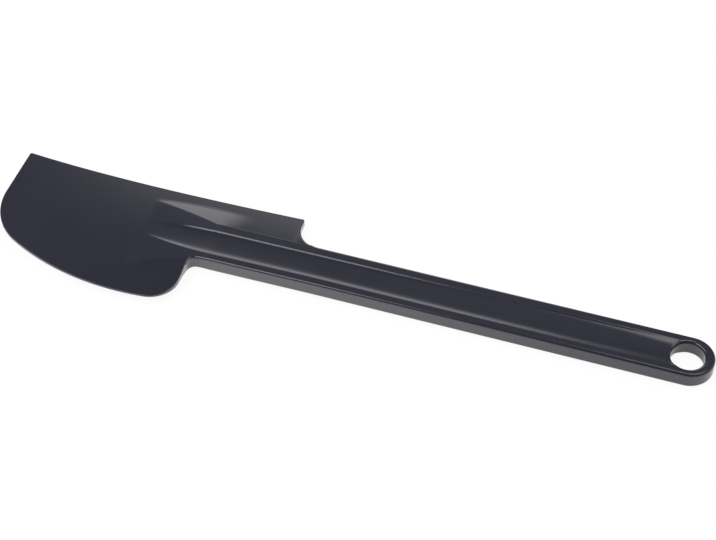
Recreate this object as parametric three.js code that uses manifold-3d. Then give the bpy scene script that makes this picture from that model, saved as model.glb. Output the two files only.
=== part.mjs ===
import * as THREE from 'three';
import { mergeVertices } from 'three/addons/utils/BufferGeometryUtils.js';
import Module from 'manifold-3d';

// A pastry spatula of dark heat-resistant plastic, in millimetres: a stiff handle of H-section with a
// hanging eye, and a flexible blade moulded over the handle's tang.
//
// While the pieces are shaped, x runs from the blade's tip to the eye, y from the round belly to the
// straight back edge with 0 on the handle's middle line, and z is counted from the middle of the
// thickness. The finished group is moved so that its origin lies under the middle of its box.

// Handle
const OVERALL_LENGTH = 300.6;
const HANDLE_WIDTH = 20;
const HANDLE_THICKNESS = 7;
const EDGE_ROUND = 1.2;
const RIM_WIDTH = 3.4;
const BACK_NARROWING = 0.95;
const BELLY_NARROWING = 0.3;
const NARROW_START = 95;
const NARROW_LENGTH = 175;
const CHANNEL_SAG = 0.12;
const CHANNEL_WALL = 0.6;
const WALL_SHARPNESS = 9;
const END_SHARPNESS = 4;
const LIP_ROUND = 0.04;
const SOFT_START = 245;
const SOFT_LENGTH = 40;
const EYE_FROM_END = 10.6;
const EYE_DIAMETER = 13.3;
const EYE_ROUND = 1.2;

// Outline of the blade
const BLADE_LENGTH = 125.3;
const BELLY_LENGTH = 87.6;
const BACK_REACH = 24.4;
const BACK_TIP_REACH = 26.6;
const BACK_DIP = 3.55;
const BACK_DIP_FROM_TIP = 48;
const BELLY_REACH = 34.6;
const BELLY_LEAN = 0.7;
const BELLY_LOWEST_FROM_TIP = 65.6;
const BELLY_RADIUS = 110;
const TIP_RADIUS = 28;
const HEEL_RADIUS = 12;
const HEEL_FILLET = 3.3;
const BACK_FILLET = 11;

// Thickness of the blade
const TIP_THICKNESS = 1.3;
const ROOT_THICKNESS = 4.6;
const BACK_TIP_THICKNESS = 1.2;
const BACK_ROOT_THICKNESS = 2.7;
const BELLY_EDGE_THICKNESS = 0.9;

// Spine: how the handle's rims and channel run out into the blade
const SPINE_START = 62;
const SPINE_FULL = 96;
const SPINE_EASE = 0.08;
const SPINE_SWELL = 1.2;
const SPINE_FLARE = 6.5;
const FLARE_SWELL = 1.3;
const FLARE_END = 92;
const CHANNEL_START = 63.2;
const CHANNEL_TIP_WIDTH = 4;
const CHANNEL_SWELL = 1.8;
const BACK_CHANNEL_SWELL = 4;
const CHANNEL_FULL = 90;
const BACK_FLANK_FOOT = 18.3;
const FOOT_FLARE = 1.9;
const FOOT_SWELL = 3;
const BACK_FADE_START = 91;
const BACK_FADE_LENGTH = 16;
const BACK_STEP_ROUND = 0.12;
const WEB_LEAD = 1;
const BELLY_FLANK_WIDTH = 8;

// Joint between blade and handle
const NECK_LENGTH = 13.5;
const MOULD_GAP = 0.3;
const TANG_LENGTH = 42;
const TANG_INSET = 4.5;
const TANG_SKIN = 1.2;
const PLUG_HOLE = 4;
const PLUG_PITCH = 20;

// Fineness of the facets
const MERGE_DISTANCE = 1e-4;
const CHANNEL_SHARES = [0.55, 0.77, 0.88, 1 - LIP_ROUND, 1, 1 + LIP_ROUND];
const FLANK_SHARES = [0.3, 0.65];
const STEP_SHARES = [0, 0.5, 1, 1.3];
const ARC_STEPS = 20;
const EDGE_STEPS = 3;
const BORE_STEPS = 24;
const PLATE_STEPS = 4;
const SPINE_STEPS = 22;
const SOFT_STEPS = 5;

const halfThickness = HANDLE_THICKNESS / 2;
const halfWidth = HANDLE_WIDTH / 2;
const webThickness = HANDLE_THICKNESS - 2 * (CHANNEL_SAG + CHANNEL_WALL);
const neckCrest = halfWidth - EDGE_ROUND / 2;
const seam = BLADE_LENGTH + NECK_LENGTH;
const endCentre = OVERALL_LENGTH - halfWidth;
const eyeCentre = OVERALL_LENGTH - EYE_FROM_END;
const eyeRadius = EYE_DIAMETER / 2;

const wasm = await Module();
wasm.setup();

// A closed three.js geometry as a solid that can be joined and cut.
function solid(geometry) {
  const bare = geometry.clone();
  bare.deleteAttribute('normal');
  bare.deleteAttribute('uv');
  const merged = mergeVertices(bare, MERGE_DISTANCE);
  return new wasm.Manifold(new wasm.Mesh({
    numProp: 3,
    vertProperties: new Float32Array(merged.attributes.position.array),
    triVerts: new Uint32Array(merged.index.array),
  }));
}

function namedMesh(name, body, material) {
  const { vertProperties, triVerts } = body.getMesh();
  const geometry = new THREE.BufferGeometry();
  geometry.setAttribute('position', new THREE.BufferAttribute(new Float32Array(vertProperties), 3));
  geometry.setIndex(new THREE.BufferAttribute(new Uint32Array(triVerts), 1));
  geometry.computeVertexNormals();
  const mesh = new THREE.Mesh(geometry, material);
  mesh.name = name;
  return mesh;
}

function block(fromX, toX, width, height) {
  return solid(new THREE.BoxGeometry(toX - fromX, width, height).translate((fromX + toX) / 2, 0, 0));
}

function post(x, diameter, height) {
  const round = new THREE.CylinderGeometry(diameter / 2, diameter / 2, height, BORE_STEPS);
  return solid(round.rotateX(Math.PI / 2).translate(x, 0, 0));
}

const { lerp, clamp, inverseLerp, smoothstep } = THREE.MathUtils;

function shareOf(from, to, value) {
  return clamp(inverseLerp(from, to, value), 0, 1);
}

function smooth(from, to, value) {
  return smoothstep(value, from, to);
}

// Handle: a bar with a round end, its edges rounded by the extrusion's bevel.
function handleBar() {
  const outline = new THREE.Shape();
  outline.moveTo(seam - NECK_LENGTH, -halfWidth);
  outline.lineTo(endCentre, -halfWidth);
  outline.absarc(endCentre, 0, halfWidth, -Math.PI / 2, Math.PI / 2, false);
  outline.lineTo(seam - NECK_LENGTH, halfWidth);
  outline.closePath();
  const bar = new THREE.ExtrudeGeometry(outline, {
    depth: HANDLE_THICKNESS - 2 * EDGE_ROUND,
    bevelThickness: EDGE_ROUND,
    bevelSize: EDGE_ROUND,
    bevelOffset: -EDGE_ROUND,
    bevelSegments: EDGE_STEPS,
    curveSegments: BORE_STEPS,
  });
  return solid(bar.translate(0, 0, EDGE_ROUND - halfThickness));
}

// The hanging eye is bored through the round end, and both its edges are rounded over.
function eyeBore() {
  const profile = [new THREE.Vector2(0, -HANDLE_THICKNESS)];
  for (const side of [-1, 1]) {
    const wide = new THREE.Vector2(eyeRadius + EYE_ROUND, side * HANDLE_THICKNESS);
    const rounding = new THREE.Path();
    const turn = side * Math.PI / 2;
    rounding.absarc(wide.x, side * (halfThickness - EYE_ROUND), EYE_ROUND, turn, Math.PI, side > 0);
    const arc = rounding.getPoints(EDGE_STEPS);
    profile.push(...(side < 0 ? [wide, ...arc] : [...arc.reverse(), wide]));
  }
  profile.push(new THREE.Vector2(0, HANDLE_THICKNESS));
  const bore = new THREE.LatheGeometry(profile, 2 * BORE_STEPS);
  return solid(bore.rotateX(Math.PI / 2).translate(eyeCentre, 0, 0));
}

// Half the channel's width, which narrows from the eye to the blade, more on its back side.
function channelHalf(x, isBack) {
  const narrowing = isBack ? BACK_NARROWING : BELLY_NARROWING;
  const widened = shareOf(NARROW_START, NARROW_START + NARROW_LENGTH, x);
  return halfWidth - RIM_WIDTH - narrowing * (1 - widened);
}

// How deep the channel is at a share of its half width: a faintly sagging floor whose sides curve up to
// rounded lips, more softly towards the eye.
function channelDrop(x, share) {
  const softness = smooth(SOFT_START, SOFT_START + SOFT_LENGTH, x);
  const sharpness = lerp(WALL_SHARPNESS, END_SHARPNESS, softness);
  const inside = Math.min(share, 1 - LIP_ROUND);
  const drop = CHANNEL_SAG * (1 - inside ** 2) + CHANNEL_WALL * (1 - inside ** sharpness);
  const climb = 2 * CHANNEL_SAG * inside + CHANNEL_WALL * sharpness * inside ** (sharpness - 1);
  const over = shareOf(1 - LIP_ROUND, 1 + LIP_ROUND, share);
  return drop * (1 - smooth(0, 1, over)) - 2 * LIP_ROUND * climb * over * (1 - over) ** 2;
}

// The space between the channels of the two faces. They open into the eye, and beyond its middle the
// space is higher than the bar, as it is over the rims.
function channelSpace() {
  const side = (x, isBack, height) => {
    const half = channelHalf(x, isBack);
    const floor = CHANNEL_SHARES.map((share) => [share * half, height(x, share)]);
    return [...floor, [halfWidth, HANDLE_THICKNESS], [HANDLE_WIDTH, HANDLE_THICKNESS]];
  };
  const row = (x, height) => {
    const belly = side(x, false, height).map(([y, z]) => [-y, z]).reverse();
    const points = [...belly, [0, height(x, 0)], ...side(x, true, height)];
    return points.map(([y, z]) => new THREE.Vector3(x, y, z));
  };
  const places = [seam - NECK_LENGTH];
  for (let step = 0; step <= SOFT_STEPS; step += 1) {
    places.push(lerp(SOFT_START, eyeCentre, step / SOFT_STEPS));
  }
  const rows = places.map((place) => row(place, (x, share) => halfThickness - channelDrop(x, share)));
  for (const place of [eyeCentre, OVERALL_LENGTH]) {
    rows.push(row(place + EDGE_ROUND, () => HANDLE_THICKNESS));
  }
  return solid(twoFaced(rows));
}

// The tang is a flat tongue inside the blade's web, with two holes that the blade is moulded through.
const tangTip = seam - TANG_LENGTH;
const tangWidth = HANDLE_WIDTH - 2 * TANG_INSET;
const tangThickness = webThickness - 2 * (TANG_SKIN + MOULD_GAP);
const plugPlaces = [-1, 1].map((side) => seam - TANG_LENGTH / 2 + side * PLUG_PITCH / 2);

function tang() {
  let tongue = block(tangTip, seam + NECK_LENGTH, tangWidth, tangThickness);
  for (const x of plugPlaces) {
    tongue = tongue.subtract(post(x, PLUG_HOLE, HANDLE_THICKNESS));
  }
  return tongue;
}

function handle() {
  const start = seam + MOULD_GAP / 2;
  const offcut = block(-OVERALL_LENGTH, start, 2 * HANDLE_WIDTH, 2 * HANDLE_THICKNESS);
  const bar = handleBar().intersect(channelSpace()).subtract(eyeBore()).subtract(offcut);
  return bar.add(tang());
}

// Blade outline: square tip, dipped back edge, back shoulder filleted into the neck, and a belly of one
// long arc that turns into the tip and into the heel by tangent arcs. The neck's belly side widens a
// little towards the heel.
function bladeOutline() {
  const bellyX = BELLY_LOWEST_FROM_TIP;
  const bellyY = BELLY_RADIUS - BELLY_REACH;
  const tipX = TIP_RADIUS;
  const tipY = bellyY - Math.sqrt((BELLY_RADIUS - TIP_RADIUS) ** 2 - (bellyX - tipX) ** 2);
  const heelX = BELLY_LENGTH - HEEL_RADIUS;
  const heelY = bellyY - Math.sqrt((BELLY_RADIUS - HEEL_RADIUS) ** 2 - (heelX - bellyX) ** 2);
  const tipTurn = Math.atan2(tipY - bellyY, tipX - bellyX);
  const heelTurn = Math.atan2(heelY - bellyY, heelX - bellyX);
  const outline = new THREE.Shape();
  outline.moveTo(0, BACK_TIP_REACH);
  outline.absarc(tipX, tipY, TIP_RADIUS, -Math.PI, tipTurn, false);
  outline.absarc(bellyX, bellyY, BELLY_RADIUS, tipTurn, heelTurn, false);
  outline.absarc(heelX, heelY, HEEL_RADIUS, heelTurn, 0, false);
  const heelFilletY = -halfWidth - BELLY_LEAN - HEEL_FILLET;
  outline.absarc(BELLY_LENGTH + HEEL_FILLET, heelFilletY, HEEL_FILLET, Math.PI, Math.PI / 2, true);
  outline.lineTo(seam, -halfWidth);
  outline.lineTo(seam, halfWidth);
  const backFilletY = halfWidth + BACK_FILLET;
  outline.absarc(BLADE_LENGTH + BACK_FILLET, backFilletY, BACK_FILLET, -Math.PI / 2, -Math.PI, true);
  outline.lineTo(BLADE_LENGTH, BACK_REACH);
  const dip = (BACK_REACH + BACK_TIP_REACH) / 2 - BACK_DIP;
  outline.quadraticCurveTo(BACK_DIP_FROM_TIP, dip, 0, BACK_TIP_REACH);
  return outline;
}

// Half the plate's thickness: thick along the handle's line, thin at the tip, the back and the belly.
function plateHalf(x, y) {
  const along = clamp(x / BLADE_LENGTH, 0, 1);
  const middle = lerp(TIP_THICKNESS, ROOT_THICKNESS, along);
  const edge = y > 0 ? lerp(BACK_TIP_THICKNESS, BACK_ROOT_THICKNESS, along) : BELLY_EDGE_THICKNESS;
  const reach = y > 0 ? BACK_TIP_REACH : BELLY_REACH;
  const across = Math.min(Math.abs(y) / reach, 1);
  return lerp(middle, edge, across ** 2) / 2;
}

// How far along its rise from the plate to the handle's height the spine is.
function spineShare(x) {
  const share = shareOf(SPINE_START, SPINE_FULL, x);
  return (1 + SPINE_EASE) * share ** 2 / (share + SPINE_EASE);
}

// How far the belly side of the spine stands out from the handle's own line.
function bellyLean(x) {
  return BELLY_LEAN * clamp((seam - x) / (seam - BELLY_LENGTH - HEEL_FILLET), 0, 1);
}

// The lines of the spine on one side, as distances from the handle's middle line: the channel's edge,
// the rim's crest, the foot of its flank and the outer edge of the neck.
function spineLines(x, isBack) {
  const lean = isBack ? 0 : bellyLean(x);
  const swell = isBack ? BACK_CHANNEL_SWELL : CHANNEL_SWELL;
  const opened = 1 - (1 - shareOf(CHANNEL_START, SPINE_FULL, x)) ** swell;
  const flare = 1 - shareOf(SPINE_START, FLARE_END, x) ** FLARE_SWELL;
  const crest = neckCrest + SPINE_FLARE * flare + lean;
  const backFoot = BACK_FLANK_FOOT - FOOT_FLARE * (1 - spineShare(x)) ** FOOT_SWELL;
  return {
    groove: lerp(CHANNEL_TIP_WIDTH / 2, channelHalf(x, isBack), opened) + lean,
    crest,
    foot: isBack ? Math.max(backFoot, crest + EDGE_ROUND) : crest + BELLY_FLANK_WIDTH,
    edge: halfWidth + lean,
  };
}

// A quarter round that starts at a height and falls off by its own radius.
function roundOver(height, over, radius) {
  return height - radius + Math.sqrt(radius ** 2 - clamp(over, 0, radius) ** 2);
}

// On the belly side the rim falls to the plate by a soft flank. On the back it falls by a straight
// flank, which turns into a step behind the rim towards the shoulder.
function flankHalf(x, y, rim, { crest, foot }) {
  const reach = Math.abs(y);
  const plate = plateHalf(x, y);
  const share = clamp((reach - crest) / (foot - crest), 0, 1);
  if (y < 0) return lerp(rim, plate, smooth(0, 1, share));
  const fade = smooth(BACK_FADE_START, BACK_FADE_START + BACK_FADE_LENGTH, x);
  const flank = lerp(lerp(rim, plate, share), plate, fade);
  const over = reach - crest;
  return over > BACK_STEP_ROUND ? flank : Math.max(flank, roundOver(rim, over, BACK_STEP_ROUND));
}

function bladeHalf(x, y) {
  const isBack = y > 0;
  const lines = spineLines(x, isBack);
  const reach = Math.abs(y);
  const rise = 1 - (1 - spineShare(x)) ** SPINE_SWELL;
  const rim = lerp(plateHalf(x, y), halfThickness, rise);
  if (reach <= lines.groove * (1 + LIP_ROUND)) {
    return rim - channelDrop(x, reach / lines.groove) * smooth(CHANNEL_START, CHANNEL_FULL, x);
  }
  const top = reach > lines.crest ? flankHalf(x, y, rim, lines) : rim;
  const rounded = roundOver(rim, reach - lines.edge + EDGE_ROUND, EDGE_ROUND);
  const neckStart = isBack ? BLADE_LENGTH - WEB_LEAD : BELLY_LENGTH;
  const neckEnd = isBack ? BLADE_LENGTH + BACK_FILLET : BELLY_LENGTH + HEEL_FILLET;
  return lerp(top, rounded, smooth(neckStart, neckEnd, x));
}

// Where the points lie across one side of the blade, from the middle line outwards.
function acrossHalf(x, isBack) {
  const { groove, crest, foot, edge } = spineLines(x, isBack);
  const outermost = (isBack ? BACK_TIP_REACH : BELLY_REACH) + EDGE_ROUND;
  const steps = isBack ? STEP_SHARES.map((share) => crest + share * BACK_STEP_ROUND) : [crest];
  const shoulder = crest + EDGE_ROUND / 2;
  return [
    ...CHANNEL_SHARES.map((share) => share * groove),
    edge - EDGE_ROUND,
    ...steps,
    shoulder,
    ...FLANK_SHARES.map((share) => lerp(shoulder, foot, share)),
    foot,
    (foot + outermost) / 2,
    outermost,
  ];
}

// The space between the two mould faces, wider than the outline, as rows of points across the blade.
function mouldSpace() {
  const places = [-EDGE_ROUND];
  for (let step = 1; step < PLATE_STEPS; step += 1) {
    places.push(SPINE_START * step / PLATE_STEPS);
  }
  const seamFace = seam - MOULD_GAP / 2;
  for (let step = 0; step <= SPINE_STEPS; step += 1) {
    places.push(lerp(SPINE_START, seamFace, step / SPINE_STEPS));
  }
  const rows = places.map((x) => {
    const belly = acrossHalf(x, false).map((reach) => -reach).reverse();
    const across = [...belly, 0, ...acrossHalf(x, true)];
    return across.map((y) => new THREE.Vector3(x, y, bladeHalf(x, y)));
  });
  return solid(twoFaced(rows));
}

// A closed body whose upper face is a grid of points and whose lower face mirrors it.
function twoFaced(rows) {
  const columns = rows[0].length;
  const positions = [];
  for (const side of [1, -1]) {
    for (const row of rows) {
      for (const point of row) positions.push(point.x, point.y, side * point.z);
    }
  }
  const upper = (row, column) => row * columns + column;
  const lower = (row, column) => (rows.length + row) * columns + column;
  const index = [];
  const quad = (a, b, c, d) => index.push(a, b, c, a, c, d);
  const lastRow = rows.length - 1;
  const lastColumn = columns - 1;
  for (let r = 0; r < lastRow; r += 1) {
    for (let c = 0; c < lastColumn; c += 1) {
      quad(upper(r, c), upper(r + 1, c), upper(r + 1, c + 1), upper(r, c + 1));
      quad(lower(r, c), lower(r, c + 1), lower(r + 1, c + 1), lower(r + 1, c));
    }
    quad(lower(r, 0), lower(r + 1, 0), upper(r + 1, 0), upper(r, 0));
    quad(upper(r, lastColumn), upper(r + 1, lastColumn), lower(r + 1, lastColumn), lower(r, lastColumn));
  }
  for (let c = 0; c < lastColumn; c += 1) {
    quad(upper(0, c), upper(0, c + 1), lower(0, c + 1), lower(0, c));
    quad(lower(lastRow, c), lower(lastRow, c + 1), upper(lastRow, c + 1), upper(lastRow, c));
  }
  const geometry = new THREE.BufferGeometry();
  geometry.setAttribute('position', new THREE.Float32BufferAttribute(positions, 3));
  geometry.setIndex(index);
  return geometry;
}

// The hollow that the tang leaves in the blade, with the plugs that run through the tang's holes.
function tangPocket() {
  const width = tangWidth + 2 * MOULD_GAP;
  const height = tangThickness + 2 * MOULD_GAP;
  let pocket = block(tangTip - MOULD_GAP, seam + NECK_LENGTH, width, height);
  for (const x of plugPlaces) {
    pocket = pocket.subtract(post(x, PLUG_HOLE - 2 * MOULD_GAP, HANDLE_THICKNESS));
  }
  return pocket;
}

function blade() {
  const plan = new THREE.ExtrudeGeometry(bladeOutline(), {
    depth: 2 * HANDLE_THICKNESS,
    bevelEnabled: false,
    curveSegments: ARC_STEPS,
  });
  plan.translate(0, 0, -HANDLE_THICKNESS);
  return solid(plan).intersect(mouldSpace()).subtract(tangPocket());
}

const handlePlastic = new THREE.MeshStandardMaterial({ color: 0x2a2a3a, roughness: 0.16, metalness: 0 });
const bladePlastic = new THREE.MeshStandardMaterial({ color: 0x2a2a3a, roughness: 0.18, metalness: 0 });

const spatula = new THREE.Group();
spatula.add(namedMesh('handle', handle(), handlePlastic));
spatula.add(namedMesh('blade', blade(), bladePlastic));
spatula.position.set(-OVERALL_LENGTH / 2, (BELLY_REACH - BACK_TIP_REACH) / 2, halfThickness);

export default spatula;
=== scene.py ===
import math

import bmesh
import bpy
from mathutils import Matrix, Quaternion, Vector


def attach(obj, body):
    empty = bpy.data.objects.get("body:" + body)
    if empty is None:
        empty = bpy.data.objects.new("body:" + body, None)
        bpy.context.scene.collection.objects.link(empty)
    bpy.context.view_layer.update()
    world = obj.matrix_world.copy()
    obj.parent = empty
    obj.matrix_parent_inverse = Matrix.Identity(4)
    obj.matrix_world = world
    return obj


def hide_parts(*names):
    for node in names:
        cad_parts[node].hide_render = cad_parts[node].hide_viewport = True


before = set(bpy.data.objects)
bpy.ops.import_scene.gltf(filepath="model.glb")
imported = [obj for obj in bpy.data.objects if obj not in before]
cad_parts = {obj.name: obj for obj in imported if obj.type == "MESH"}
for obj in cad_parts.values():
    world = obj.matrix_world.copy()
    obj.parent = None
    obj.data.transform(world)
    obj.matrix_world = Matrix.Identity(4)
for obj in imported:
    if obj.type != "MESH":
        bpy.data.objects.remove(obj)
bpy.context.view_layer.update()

# Handle: a stiff bar of H-section, moulded from heat-resistant plastic, with a shallow flat channel in
# both faces and a round end that is bored through as a hanging eye. Its tang sits inside the blade.
# Sizes are in millimetres, x from the blade's tip, y from the handle's middle line.
MM = 0.001
LENGTH = 300.6
HANDLE_WIDTH = 20.0
THICKNESS = 7.0
EDGE_ROUND = 1.2
RIM_WIDTH = 3.4
BACK_NARROWING = 0.95
BELLY_NARROWING = 0.3
NARROWING = (95.0, 270.0)
CHANNEL_SAG = 0.12
CHANNEL_WALL = 0.6
WALL_SHARPNESS = 9
END_SHARPNESS = 4
LIP_ROUND = 0.04
SOFTENING = (245.0, 285.0)
EYE_FROM_END = 10.6
EYE_DIAMETER = 13.3
EYE_ROUND = 1.2
SEAM = 138.8
BLADE_BACK_REACH = 26.6
BLADE_BELLY_REACH = 34.6

HALF_WIDTH = HANDLE_WIDTH / 2
HALF_THICKNESS = THICKNESS / 2
CHANNEL_HALF = HALF_WIDTH - RIM_WIDTH
END_X = LENGTH - HALF_WIDTH
EYE_X = LENGTH - EYE_FROM_END
EYE_RADIUS = EYE_DIAMETER / 2
ROUNDING_TURNS = (3, 8, 15, 24, 34, 45, 57, 69, 80, 90)
WALL_LEAD = 0.25
END_STEPS = 32
EYE_STEPS = 64
LIP_STEP = 0.09
NARROW_CUT = 1e-5
WELD = 1e-3
SMOOTH_ANGLE = math.radians(34)


def mix(start, end, share):
    return start + (end - start) * share


def share_of(start, end, value):
    return min(max((value - start) / (end - start), 0.0), 1.0)


def smooth(start, end, value):
    share = share_of(start, end, value)
    return share * share * (3 - 2 * share)


def arc(centre, radius, start, end, steps, rounding, hollow=False):
    """Points of an arc with the direction that points out of the material, and the edge's rounding."""
    points = []
    for step in range(steps + 1):
        turn = math.radians(mix(start, end, step / steps))
        way = (math.cos(turn), math.sin(turn))
        out = (-way[0], -way[1]) if hollow else way
        points.append((centre[0] + radius * way[0], centre[1] + radius * way[1], *out, rounding))
    return points


def flat_sheet(name, outline, stations, lines, straighten):
    """The flat of the upper face inside its rounded edges, cut along the stations and the lines. The
    lines are straight here, and the sheet is bent to their true run when it is raised."""
    bpy.ops.object.select_all(action="DESELECT")
    bpy.ops.mesh.primitive_circle_add(vertices=len(outline), radius=1, fill_type="NGON")
    piece = bpy.context.object
    piece.name = name
    for vertex, (x, y, out_x, out_y, rounding) in zip(piece.data.vertices, outline):
        x, y = x - out_x * rounding, y - out_y * rounding
        vertex.co = (x, straighten(x, y), 0)
    bpy.ops.object.mode_set(mode="EDIT")
    cuts = [((x, 0, 0), (1, 0, 0)) for x in stations] + [((0, y, 0), (0, 1, 0)) for y in lines]
    for place, way in cuts:
        bpy.ops.mesh.select_all(action="SELECT")
        bpy.ops.mesh.bisect(plane_co=place, plane_no=way, threshold=NARROW_CUT)
    bpy.ops.object.mode_set(mode="OBJECT")
    return piece


def raise_sheet(piece, bend, height):
    """Lays the cut sheet onto the mould's upper face."""
    for vertex in piece.data.vertices:
        x, across, _ = vertex.co
        y = bend(x, across)
        vertex.co = (x, y, height(x, y))


def nearest_edge(x, y, outline):
    """The outward direction and the rounding of the outline at its nearest point."""
    best = None
    for start, end in zip(outline, outline[1:] + outline[:1]):
        first = (start[0] - start[2] * start[4], start[1] - start[3] * start[4])
        last = (end[0] - end[2] * end[4], end[1] - end[3] * end[4])
        along = (last[0] - first[0], last[1] - first[1])
        length = along[0] ** 2 + along[1] ** 2
        if length < NARROW_CUT ** 2:
            continue
        share = ((x - first[0]) * along[0] + (y - first[1]) * along[1]) / length
        share = min(max(share, 0.0), 1.0)
        gap = math.hypot(first[0] + along[0] * share - x, first[1] + along[1] * share - y)
        if best is None or gap < best[0]:
            out = Vector((mix(start[2], end[2], share), mix(start[3], end[3], share), 0)).normalized()
            best = (gap, out, mix(start[4], end[4], share))
    return best[1], best[2]


def round_edges(piece, outline, stays_open):
    """Extrudes the sheet's rim over its rounding and down the wall to the mould's parting plane."""
    bpy.ops.object.mode_set(mode="EDIT")
    bpy.ops.mesh.select_mode(type="EDGE")
    bpy.ops.mesh.select_all(action="DESELECT")
    shape = bmesh.from_edit_mesh(piece.data)
    shape.verts.index_update()
    rims = {}
    for edge in shape.edges:
        if edge.is_boundary and not stays_open(edge):
            edge.select_set(True)
            for vertex in edge.verts:
                if vertex.index not in rims:
                    out, rounding = nearest_edge(vertex.co.x, vertex.co.y, outline)
                    rims[vertex.index] = (vertex.co.copy(), out, rounding)
    bmesh.update_edit_mesh(piece.data)
    layers = [(math.sin(math.radians(t)), 1 - math.cos(math.radians(t)), 0) for t in ROUNDING_TURNS]
    layers += [(1, 1, WALL_LEAD), (1, 1, 1)]
    for reach, drop, wall in layers:
        bpy.ops.mesh.extrude_edges_move()
        shape = bmesh.from_edit_mesh(piece.data)
        shape.verts.index_update()
        shape.verts.ensure_lookup_table()
        moved = {}
        for vertex in shape.verts:
            if not vertex.select:
                continue
            base = next(e.other_vert(vertex) for e in vertex.link_edges if not e.other_vert(vertex).select)
            top, out, rounding = rims[base.index]
            place = top + out * (rounding * reach)
            place.z = (top.z - rounding * drop) * (1 - wall)
            moved[vertex.index] = (top, out, rounding)
            vertex.co = place
        rims.update(moved)
        bmesh.update_edit_mesh(piece.data)
    bpy.ops.object.mode_set(mode="OBJECT")


def mirror_piece(piece, name, axes):
    """Adds the mirror image across the chosen axes and welds it on."""
    mirror = piece.modifiers.new(name, "MIRROR")
    mirror.use_axis = axes
    mirror.merge_threshold = WELD
    bpy.ops.object.modifier_apply(modifier=mirror.name)


def close_piece(piece, is_seam):
    """Mirrors the upper mould half into the whole piece, caps its seam and brings it into the frame."""
    mirror_piece(piece, "lower mould half", (False, False, True))
    bpy.ops.object.mode_set(mode="EDIT")
    bpy.ops.mesh.select_all(action="SELECT")
    bpy.ops.mesh.remove_doubles(threshold=WELD)
    bpy.ops.mesh.select_all(action="DESELECT")
    shape = bmesh.from_edit_mesh(piece.data)
    for edge in shape.edges:
        if edge.is_boundary and is_seam(edge):
            edge.select_set(True)
    bmesh.update_edit_mesh(piece.data)
    bpy.ops.mesh.edge_face_add()
    bpy.ops.mesh.select_all(action="SELECT")
    bpy.ops.mesh.normals_make_consistent(inside=False)
    bpy.ops.transform.resize(value=(MM, MM, MM), center_override=(0, 0, 0))
    place = (-LENGTH / 2, (BLADE_BELLY_REACH - BLADE_BACK_REACH) / 2, HALF_THICKNESS)
    bpy.ops.transform.translate(value=tuple(MM * side for side in place))
    bpy.ops.object.mode_set(mode="OBJECT")
    bpy.ops.object.shade_smooth_by_angle(angle=SMOOTH_ANGLE)


def on_seam(edge):
    return all(abs(vertex.co.x - SEAM) < WELD for vertex in edge.verts)


def follow(value, pairs):
    """Piecewise straight interpolation along (from, to) pairs, carried on past the last one."""
    for (start, first), (end, last) in zip(pairs, pairs[1:]):
        if value <= end:
            return mix(first, last, (value - start) / (end - start))
    return value - pairs[-1][0] + pairs[-1][1]


def channel_half(x, y):
    """Half the channel's width, which narrows from the eye to the blade, more on its back side."""
    narrowing = BACK_NARROWING if y > 0 else BELLY_NARROWING
    return CHANNEL_HALF - narrowing * (1 - share_of(*NARROWING, x))


def channel_drop(x, share):
    """Depth of the channel at a share of its half width: a faintly sagging floor between curved-up sides,
    whose lips are rounded."""
    sharpness = mix(WALL_SHARPNESS, END_SHARPNESS, smooth(*SOFTENING, x))
    inside = min(share, 1 - LIP_ROUND)
    drop = CHANNEL_SAG * (1 - inside ** 2) + CHANNEL_WALL * (1 - inside ** sharpness)
    climb = 2 * CHANNEL_SAG * inside + CHANNEL_WALL * sharpness * inside ** (sharpness - 1)
    over = share_of(1 - LIP_ROUND, 1 + LIP_ROUND, share)
    return drop * (1 - smooth(0, 1, over)) - 2 * LIP_ROUND * climb * over * (1 - over) ** 2


def handle_height(x, y):
    """Height of the handle's face over the mould's parting plane."""
    if x > EYE_X:
        return HALF_THICKNESS
    return HALF_THICKNESS - channel_drop(x, abs(y) / channel_half(x, y))


def narrow(x, across):
    """Takes straight lines along the handle to the lines of the narrowing channel."""
    flat_edge = HALF_WIDTH - EDGE_ROUND
    pairs = [(0, 0), (CHANNEL_HALF, channel_half(x, across)), (flat_edge, flat_edge)]
    return math.copysign(follow(abs(across), pairs), across)


def evenly(start, step, count):
    """Places for the cuts, at even steps from the start."""
    return [start + step * index for index in range(count)]


handle_outline = [(SEAM, 0, 0, 1, 0), (SEAM, HALF_WIDTH, 0, 1, EDGE_ROUND)]
handle_outline += arc((END_X, 0), HALF_WIDTH, 90, 0, END_STEPS, EDGE_ROUND)
handle_outline += arc((EYE_X, 0), EYE_RADIUS, 0, 180, EYE_STEPS, EYE_ROUND, hollow=True)
handle_stations = evenly(150, 10, 10) + evenly(244, 4, 8) + evenly(275.5, 1, 24)
floor_lines = [1.7, 3.2, 4.2, 4.7, 5.1, 5.4, 5.65, 5.85, 6.05, 6.2]
lip_lines = [CHANNEL_HALF + LIP_STEP * index for index in range(-3, 4)]
rim_lines = [7.2, 7.7, 8.3]
handle_lines = floor_lines + lip_lines + rim_lines
handle = flat_sheet("handle_bar", handle_outline, handle_stations, handle_lines, lambda x, y: y)
mirror_piece(handle, "belly side", (False, True, False))
handle_outline += [(x, -y, out_x, -out_y, rounding)
                   for x, y, out_x, out_y, rounding in reversed(handle_outline)]
raise_sheet(handle, narrow, handle_height)
round_edges(handle, handle_outline, on_seam)
close_piece(handle, on_seam)


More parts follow.
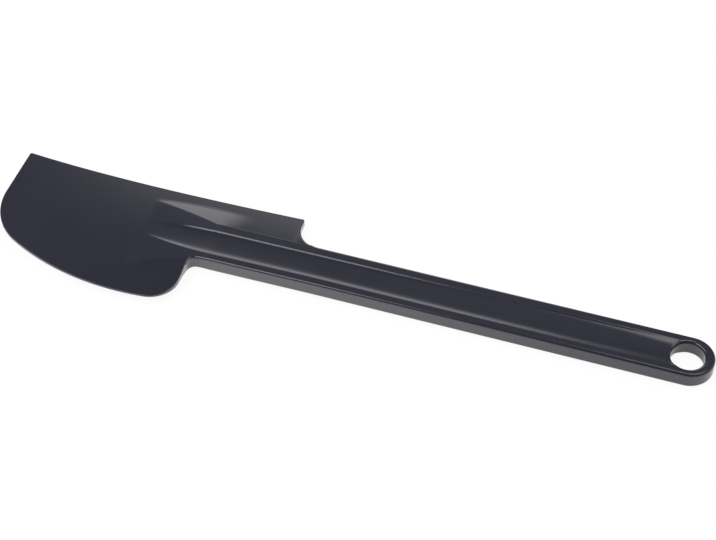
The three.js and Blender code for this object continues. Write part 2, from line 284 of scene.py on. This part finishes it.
class Wire:
    """A socket in a shader's tree; Python's operators on it add Math nodes."""

    def __init__(self, tree, socket=None):
        self.tree = tree
        self.socket = socket

    def node(self, kind, settings, sockets, output=0):
        made = self.tree.nodes.new(kind)
        for name, value in settings.items():
            if name == "stops":
                while len(made.color_ramp.elements) < len(value):
                    made.color_ramp.elements.new(0.5)
                for element, (place, level) in zip(made.color_ramp.elements, value):
                    element.position = place
                    element.color = (level, level, level, 1)
            else:
                setattr(made, name, value)
        for name, value in sockets.items():
            if isinstance(value, Wire):
                self.tree.links.new(value.socket, made.inputs[name])
            else:
                made.inputs[name].default_value = value
        return Wire(self.tree, made.outputs[output] if made.outputs else None)

    def maths(self, operation, first, second):
        return self.node("ShaderNodeMath", {"operation": operation}, {0: first, 1: second})

    def __add__(self, other):
        return self.maths("ADD", self, other)

    def __radd__(self, other):
        return self.maths("ADD", other, self)

    def __sub__(self, other):
        return self.maths("SUBTRACT", self, other)

    def __rsub__(self, other):
        return self.maths("SUBTRACT", other, self)

    def __mul__(self, other):
        return self.maths("MULTIPLY", self, other)

    def __rmul__(self, other):
        return self.maths("MULTIPLY", other, self)


PLASTIC_DARK = (0.0215, 0.0215, 0.0405, 1)
PLASTIC_PALE = (0.0245, 0.0245, 0.0455, 1)
PLASTIC_IOR = 1.68
HANDLE_ROUGHNESS = 0.16
ROUGHNESS_SPREAD = 0.06
GRAIN_SCALE = 2600.0
GRAIN_STRENGTH = 0.06
GRAIN_DEPTH = 0.00004
CLOUD_SCALE = 45.0


def moulded_plastic(name, roughness):
    """Blue-black heat-resistant plastic: satin gloss, a very fine mould grain and faint flow marks."""
    material = bpy.data.materials.new(name)
    material.use_nodes = True
    tree = material.node_tree
    tree.nodes.clear()
    wire = Wire(tree)
    place = wire.node("ShaderNodeTexCoord", {}, {}, output="Object")
    grain = wire.node("ShaderNodeTexNoise", {}, {"Vector": place, "Scale": GRAIN_SCALE, "Detail": 2.0})
    cloud = wire.node("ShaderNodeTexNoise", {}, {"Vector": place, "Scale": CLOUD_SCALE, "Detail": 3.0})
    colours = {"Factor": cloud, 6: PLASTIC_DARK, 7: PLASTIC_PALE}
    colour = wire.node("ShaderNodeMix", {"data_type": "RGBA"}, colours, output=2)
    bump = wire.node("ShaderNodeBump", {}, {
        "Height": grain,
        "Strength": GRAIN_STRENGTH,
        "Distance": GRAIN_DEPTH,
    })
    shader = wire.node("ShaderNodeBsdfPrincipled", {}, {
        "Base Color": colour,
        "Roughness": roughness - ROUGHNESS_SPREAD / 2 + ROUGHNESS_SPREAD * cloud,
        "IOR": PLASTIC_IOR,
        "Normal": bump,
    })
    wire.node("ShaderNodeOutputMaterial", {}, {"Surface": shader})
    return material


handle.data.materials.clear()
handle.data.materials.append(moulded_plastic("handle plastic", HANDLE_ROUGHNESS))
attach(handle, "root")
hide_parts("handle")

# Blade: one flexible plate of the same plastic, moulded over the handle's tang. It is square at the tip,
# thin along its belly and back, and the handle's rims and channel run out into its face.
BLADE_LENGTH = 125.3
BELLY_LENGTH = 87.6
BACK_REACH = 24.4
BACK_DIP = 3.55
BACK_DIP_FROM_TIP = 48.0
BELLY_LOWEST_FROM_TIP = 65.6
BELLY_RADIUS = 110.0
TIP_RADIUS = 28.0
HEEL_RADIUS = 12.0
HEEL_FILLET = 3.3
BACK_FILLET = 11.0
BLADE_ROUND = 0.3
BACK_FILLET_ROUND = 0.4
CORNER_RADIUS = 0.9
BELLY_LEAN = 0.7
BLADE_ROUGHNESS = 0.18

TIP_THICKNESS = 1.3
ROOT_THICKNESS = 4.6
BACK_TIP_THICKNESS = 1.2
BACK_ROOT_THICKNESS = 2.7
BELLY_EDGE_THICKNESS = 0.9

SPINE_START = 62.0
SPINE_FULL = 96.0
SPINE_EASE = 0.08
SPINE_SWELL = 1.2
SPINE_FLARE = 6.5
FLARE_SWELL = 1.3
FLARE_END = 92.0
FOOT_FLARE = 1.9
FOOT_SWELL = 3
CHANNEL_START = 63.2
CHANNEL_TIP_WIDTH = 4.0
CHANNEL_SWELL = 1.8
BACK_CHANNEL_SWELL = 4.0
CHANNEL_FULL = 90.0
WEB_LEAD = 1.0
STEP_ROUND = 0.12
BACK_FLANK_FOOT = 18.3
BACK_FLANK_FADE = (91.0, 107.0)
BELLY_FLANK_WIDTH = 8.0
NECK_CREST = 9.4
NECK_FOOT = BACK_FLANK_FOOT

HEEL_FILLET_STEPS = 20
HEEL_STEPS = 40
BELLY_STEPS = 70
TIP_STEPS = 50
CORNER_STEPS = 10
BACK_STEPS = 160
BACK_FIRST_STEP = 3
BACK_FILLET_STEPS = 24


def plate_half(x, y):
    """Half the plate's thickness: thick near the handle's line, thin at the tip, back and belly."""
    along = share_of(0, BLADE_LENGTH, x)
    middle = mix(TIP_THICKNESS, ROOT_THICKNESS, along)
    edge = mix(BACK_TIP_THICKNESS, BACK_ROOT_THICKNESS, along) if y > 0 else BELLY_EDGE_THICKNESS
    reach = BLADE_BACK_REACH if y > 0 else BLADE_BELLY_REACH
    across = min(abs(y) / reach, 1)
    return mix(middle, edge, across ** 2) / 2


def belly_lean(x):
    """How far the belly side of the spine stands out from the handle's own line."""
    return BELLY_LEAN * min(max((SEAM - x) / (SEAM - BELLY_LENGTH - HEEL_FILLET), 0), 1)


def spine_share(x):
    """How far along its rise from the plate to the handle's height the spine is."""
    share = share_of(SPINE_START, SPINE_FULL, x)
    return (1 + SPINE_EASE) * share ** 2 / (share + SPINE_EASE)


def spine_lines(x, y):
    """Groove edge, crest and flank foot on one side, each with its straightened place."""
    lean = belly_lean(x) if y < 0 else 0
    swell = BACK_CHANNEL_SWELL if y > 0 else CHANNEL_SWELL
    opened = 1 - (1 - share_of(CHANNEL_START, SPINE_FULL, x)) ** swell
    groove = mix(CHANNEL_TIP_WIDTH / 2, channel_half(x, y), opened)
    crest = NECK_CREST + SPINE_FLARE * (1 - share_of(SPINE_START, FLARE_END, x) ** FLARE_SWELL)
    foot = crest + lean + BELLY_FLANK_WIDTH
    if y > 0:
        foot = max(BACK_FLANK_FOOT - FOOT_FLARE * (1 - spine_share(x)) ** FOOT_SWELL, crest + EDGE_ROUND)
    return [(0, 0), (groove + lean, CHANNEL_HALF), (crest + lean, NECK_CREST), (foot, NECK_FOOT)]


def blade_height(x, y):
    """Height of the blade's face over the mould's parting plane."""
    plate = plate_half(x, y)
    rise = 1 - (1 - spine_share(x)) ** SPINE_SWELL
    rim = mix(plate, HALF_THICKNESS, rise)
    groove, crest, foot = (line[0] for line in spine_lines(x, y)[1:])
    reach = abs(y)
    if reach <= crest:
        return rim - channel_drop(x, reach / groove) * smooth(CHANNEL_START, CHANNEL_FULL, x)
    share = min((reach - crest) / (foot - crest), 1)
    if y < 0:
        return mix(rim, plate, smooth(0, 1, share))
    top = mix(mix(rim, plate, share), plate, smooth(*BACK_FLANK_FADE, x))
    over = reach - crest
    if over < STEP_ROUND:
        top = max(top, rim - STEP_ROUND + math.sqrt(STEP_ROUND ** 2 - over ** 2))
    return mix(top, rim, smooth(BLADE_LENGTH - WEB_LEAD, BLADE_LENGTH + BACK_FILLET, x))


def straighten(x, y):
    """Takes the spine's lines, which flare and close towards the tip, to straight ones."""
    return math.copysign(follow(abs(y), spine_lines(x, y)), y)


def flare(x, across):
    """Takes straight lines back to the spine's own, which flare and close towards the tip."""
    pairs = [(straight, reach) for reach, straight in spine_lines(x, across)]
    return math.copysign(follow(abs(across), pairs), across)


def fillet(centre, radius, start, end, steps, first_round, last_round):
    """A hollow arc along which the edge's rounding changes."""
    points = arc(centre, radius, start, end, steps, 0, hollow=True)
    return [(*point[:4], mix(first_round, last_round, smooth(0, steps, step)))
            for step, point in enumerate(points)]


def blade_outline():
    """From the seam round the heel, the belly, the square tip and the back to the seam again."""
    belly = (BELLY_LOWEST_FROM_TIP, BELLY_RADIUS - BLADE_BELLY_REACH)
    tip_y = belly[1] - math.sqrt((BELLY_RADIUS - TIP_RADIUS) ** 2 - (belly[0] - TIP_RADIUS) ** 2)
    heel_x = BELLY_LENGTH - HEEL_RADIUS
    heel_y = belly[1] - math.sqrt((BELLY_RADIUS - HEEL_RADIUS) ** 2 - (heel_x - belly[0]) ** 2)
    tip_turn = math.degrees(math.atan2(tip_y - belly[1], TIP_RADIUS - belly[0]))
    heel_turn = math.degrees(math.atan2(heel_y - belly[1], heel_x - belly[0]))
    points = [(SEAM, -HALF_WIDTH, 0, -1, EDGE_ROUND)]
    points += fillet((BELLY_LENGTH + HEEL_FILLET, -HALF_WIDTH - BELLY_LEAN - HEEL_FILLET), HEEL_FILLET,
                     90, 180, HEEL_FILLET_STEPS, EDGE_ROUND, BLADE_ROUND)
    points += arc((heel_x, heel_y), HEEL_RADIUS, 0, heel_turn, HEEL_STEPS, BLADE_ROUND)
    points += arc(belly, BELLY_RADIUS, heel_turn, tip_turn, BELLY_STEPS, BLADE_ROUND)[1:]
    points += arc((TIP_RADIUS, tip_y), TIP_RADIUS, tip_turn, -180, TIP_STEPS, BLADE_ROUND)[1:]
    dip = (BACK_REACH + BLADE_BACK_REACH) / 2 - BACK_DIP
    tip_slope = math.degrees(math.atan2(BLADE_BACK_REACH - dip, BACK_DIP_FROM_TIP))
    corner_y = BLADE_BACK_REACH - CORNER_RADIUS * (1 + math.tan(math.radians(tip_slope)))
    corner = (CORNER_RADIUS, corner_y)
    points += arc(corner, CORNER_RADIUS, 180, 90 - tip_slope, CORNER_STEPS, BLADE_ROUND)
    for step in range(BACK_FIRST_STEP, BACK_STEPS - 1):
        share = step / BACK_STEPS
        x = mix(mix(0, BACK_DIP_FROM_TIP, share), mix(BACK_DIP_FROM_TIP, BLADE_LENGTH, share), share)
        y = mix(mix(BLADE_BACK_REACH, dip, share), mix(dip, BACK_REACH, share), share)
        way_x = mix(BACK_DIP_FROM_TIP, BLADE_LENGTH - BACK_DIP_FROM_TIP, share)
        way_y = mix(dip - BLADE_BACK_REACH, BACK_REACH - dip, share)
        length = math.hypot(way_x, way_y)
        points.append((x, y, -way_y / length, way_x / length, BLADE_ROUND))
    corner = (BLADE_LENGTH - CORNER_RADIUS, BACK_REACH - CORNER_RADIUS)
    points += arc(corner, CORNER_RADIUS, 90, 0, CORNER_STEPS, BLADE_ROUND)
    points += fillet((BLADE_LENGTH + BACK_FILLET, HALF_WIDTH + BACK_FILLET), BACK_FILLET,
                     180, 270, BACK_FILLET_STEPS, BACK_FILLET_ROUND, EDGE_ROUND)
    points.append((SEAM, HALF_WIDTH, 0, 1, EDGE_ROUND))
    return points


outline = blade_outline()
stations = evenly(2.3, 2.3, 22) + evenly(53.3, 0.8, 62) + evenly(103.7, 2, 9) + evenly(121.1, 0.9, 19)
step_lines = [8.8, 9.2, 9.4, 9.46, 9.52, 9.6, 9.75, 9.9, 10, 10.1]
flank_lines = [10.5, 11.2, 12.1, 13, 14.1, 15.3, 16.6, 17.5, 18.3]
plate_lines = [19.6, 21, 22.6, 25.1, 27.6, 30.1, 32.6, 35.1]
half_lines = handle_lines + step_lines + flank_lines + plate_lines
lines = [-y for y in half_lines] + [0] + half_lines
blade = flat_sheet("blade_plate", outline, stations, lines, straighten)
raise_sheet(blade, flare, blade_height)
round_edges(blade, outline, on_seam)
close_piece(blade, on_seam)
blade.data.materials.clear()
blade.data.materials.append(moulded_plastic("blade plastic", BLADE_ROUGHNESS))
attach(blade, "root")
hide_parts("blade")

# Floor: a plain white studio sweep of paper, a hair under the object so that no faces coincide. The camera
# sees it as plain white with the object's soft shadow. In gloss it glows, with a painted pool of light
# that makes its reflection brighter towards the left.
FLOOR_SIZE = 6.0
FLOOR_GAP = 0.0001
PAPER_WHITE = (0.86, 0.86, 0.86, 1)
GLOW_WHITE = 1.08
SEEN_SHARE = 0.85
MIRRORED_SHARE = 0.3
# painted pool of light on the floor, seen only in reflections: strong at the left end, weaker at the right
PAINTED_SHINE_LEFT = 3.3
PAINTED_SHINE_RIGHT = 1.4
PAINTED_SHINE_FALL = (-0.10, 0.18)


def fade(value, start, end):
    """Rises smoothly from 0 to 1 on the way from start to end."""
    return value.node("ShaderNodeMapRange", {"interpolation_type": "SMOOTHSTEP"},
                      {"Value": value, "From Min": start, "From Max": end})


bpy.ops.object.select_all(action="DESELECT")
bpy.ops.mesh.primitive_plane_add(size=FLOOR_SIZE, location=(0, 0, -FLOOR_GAP))
floor = bpy.context.object
floor.name = "studio_floor"
white = bpy.data.materials.new("studio white")
white.use_nodes = True
white.node_tree.nodes.clear()
wire = Wire(white.node_tree)
seen = wire.node("ShaderNodeLightPath", {}, {}, output="Is Camera Ray")
glossy = wire.node("ShaderNodeLightPath", {}, {}, output="Is Glossy Ray")
through = wire.node("ShaderNodeLightPath", {}, {}, output="Is Transmission Ray")
place = wire.node("ShaderNodeTexCoord", {}, {}, output="Object")
along = wire.node("ShaderNodeSeparateXYZ", {}, {0: place}, output="X")
# painted pool of light: the floor's glow in reflections fades from left to right
painted_shine = mix(PAINTED_SHINE_LEFT, PAINTED_SHINE_RIGHT, fade(along, *PAINTED_SHINE_FALL))
paper = wire.node("ShaderNodeBsdfDiffuse", {}, {"Color": PAPER_WHITE})
glow = GLOW_WHITE + painted_shine * glossy
plain = wire.node("ShaderNodeEmission", {}, {"Color": (1, 1, 1, 1), "Strength": glow})
glow_share = SEEN_SHARE * (seen + through) + MIRRORED_SHARE * glossy
both = wire.node("ShaderNodeMixShader", {}, {0: glow_share, 1: paper, 2: plain})
wire.node("ShaderNodeOutputMaterial", {}, {"Surface": both})
floor.data.materials.append(white)

# Studio light: a dim room with a white card behind the object that fades upwards, and weak panels above,
# left and right of it. Two softboxes hang overhead, and a third lamp lights the edges from the left.
# Heights are sines of the elevation, and turns are radians from +Y towards +X.
ROOM = 0.16
CARD_FALL = [(0.0, 1.85), (0.42, 1.75), (0.57, 1.3), (0.64, 0.95),
             (0.675, 0.58), (0.70, 0.23), (0.738, 0.17), (1.0, 0.17)]
CARD_TURNS = [(-0.58, -0.46), (-0.05, -0.15)]
TOP_LEVEL = 0.12
TOP_HEIGHTS = [(0.738, 0.765)]
TOP_TURNS = [(-0.45, -0.35), (0.15, 0.05)]
LEFT_LEVEL = 0.18
LEFT_HEIGHTS = [(0.685, 0.715), (0.80, 0.74)]
LEFT_TURNS = [(-0.85, -0.75), (-0.59, -0.66)]
RIGHT_LEVEL = 0.3
RIGHT_HEIGHTS = [(0.85, 0.65)]
RIGHT_TURNS = [(0.4, 0.8), (2.4, 2.0)]
world = bpy.data.worlds.new("studio")
bpy.context.scene.world = world
world.use_nodes = True
world.node_tree.nodes.clear()
wire = Wire(world.node_tree)
way = wire.node("ShaderNodeTexCoord", {}, {}, output="Generated")
side = wire.node("ShaderNodeSeparateXYZ", {}, {0: way}, output="X")
depth = wire.node("ShaderNodeSeparateXYZ", {}, {0: way}, output="Y")
up = wire.node("ShaderNodeSeparateXYZ", {}, {0: way}, output="Z")
around = wire.maths("ARCTAN2", side, depth)


def panel(level, heights, turns):
    """A patch of light with soft edges, each given by where it is dark and where it is full."""
    for edge in heights:
        level = level * fade(up, *edge)
    for edge in turns:
        level = level * fade(around, *edge)
    return level


card = wire.node("ShaderNodeValToRGB", {"stops": CARD_FALL}, {0: up})
level = ROOM + panel(card - ROOM, [], CARD_TURNS)
level += panel(TOP_LEVEL, TOP_HEIGHTS, TOP_TURNS)
level += panel(LEFT_LEVEL, LEFT_HEIGHTS, LEFT_TURNS)
level += panel(RIGHT_LEVEL, RIGHT_HEIGHTS, RIGHT_TURNS)
seen = wire.node("ShaderNodeLightPath", {}, {}, output="Is Camera Ray")
studio = wire.node("ShaderNodeBackground", {}, {"Color": (1, 1, 1, 1), "Strength": level})
backdrop = wire.node("ShaderNodeBackground", {}, {"Color": (1, 1, 1, 1), "Strength": 1.0})
sky = wire.node("ShaderNodeMixShader", {}, {0: seen, 1: studio, 2: backdrop})
wire.node("ShaderNodeOutputWorld", {}, {"Surface": sky})


def softbox(name, place, aim, width, depth, turn, radiance):
    """A rectangular lamp that faces the aim and is turned in its own plane."""
    lamp = bpy.data.lights.new(name, "AREA")
    lamp.shape = "RECTANGLE"
    lamp.size = width
    lamp.size_y = depth
    lamp.energy = radiance * math.pi * width * depth
    holder = bpy.data.objects.new(name, lamp)
    holder.location = place
    facing = (Vector(aim) - Vector(place)).to_track_quat("-Z", "Y")
    holder.rotation_euler = (facing @ Quaternion((0, 0, 1), math.radians(turn))).to_euler()
    bpy.context.scene.collection.objects.link(holder)


softbox("softbox left", place=(-0.52, -0.60, 1.10), aim=(-0.41, 0, 0),
        width=0.55, depth=0.95, turn=0, radiance=3.0)
softbox("softbox right", place=(0.35, 0.27, 1.10), aim=(0.35, 0.27, 0),
        width=0.62, depth=0.56, turn=-7, radiance=2.2)
softbox("side light left", place=(-1.05, -0.10, 1.15), aim=(0, 0, 0),
        width=1.00, depth=0.70, turn=0, radiance=2.4)

# Camera: a long lens that looks down at the spatula from the handle's near side, at the place that was
# fitted to the straight edges of the handle and the round eye. Angles are in degrees.
CAMERA_PLACE = (0.1540, -0.4529, 0.5448)
CAMERA_ELEVATION = 48.06
CAMERA_AZIMUTH = 17.96
LENS = 90.50
SENSOR_WIDTH = 36.0
lens = bpy.data.cameras.new("photo camera")
lens.lens = LENS
lens.sensor_width = SENSOR_WIDTH
lens.sensor_fit = "HORIZONTAL"
camera = bpy.data.objects.new("photo camera", lens)
camera.location = CAMERA_PLACE
camera.rotation_euler = (math.radians(90 - CAMERA_ELEVATION), 0, math.radians(CAMERA_AZIMUTH))
bpy.context.scene.collection.objects.link(camera)
bpy.context.scene.camera = camera
bpy.context.scene.view_settings.view_transform = "Standard"
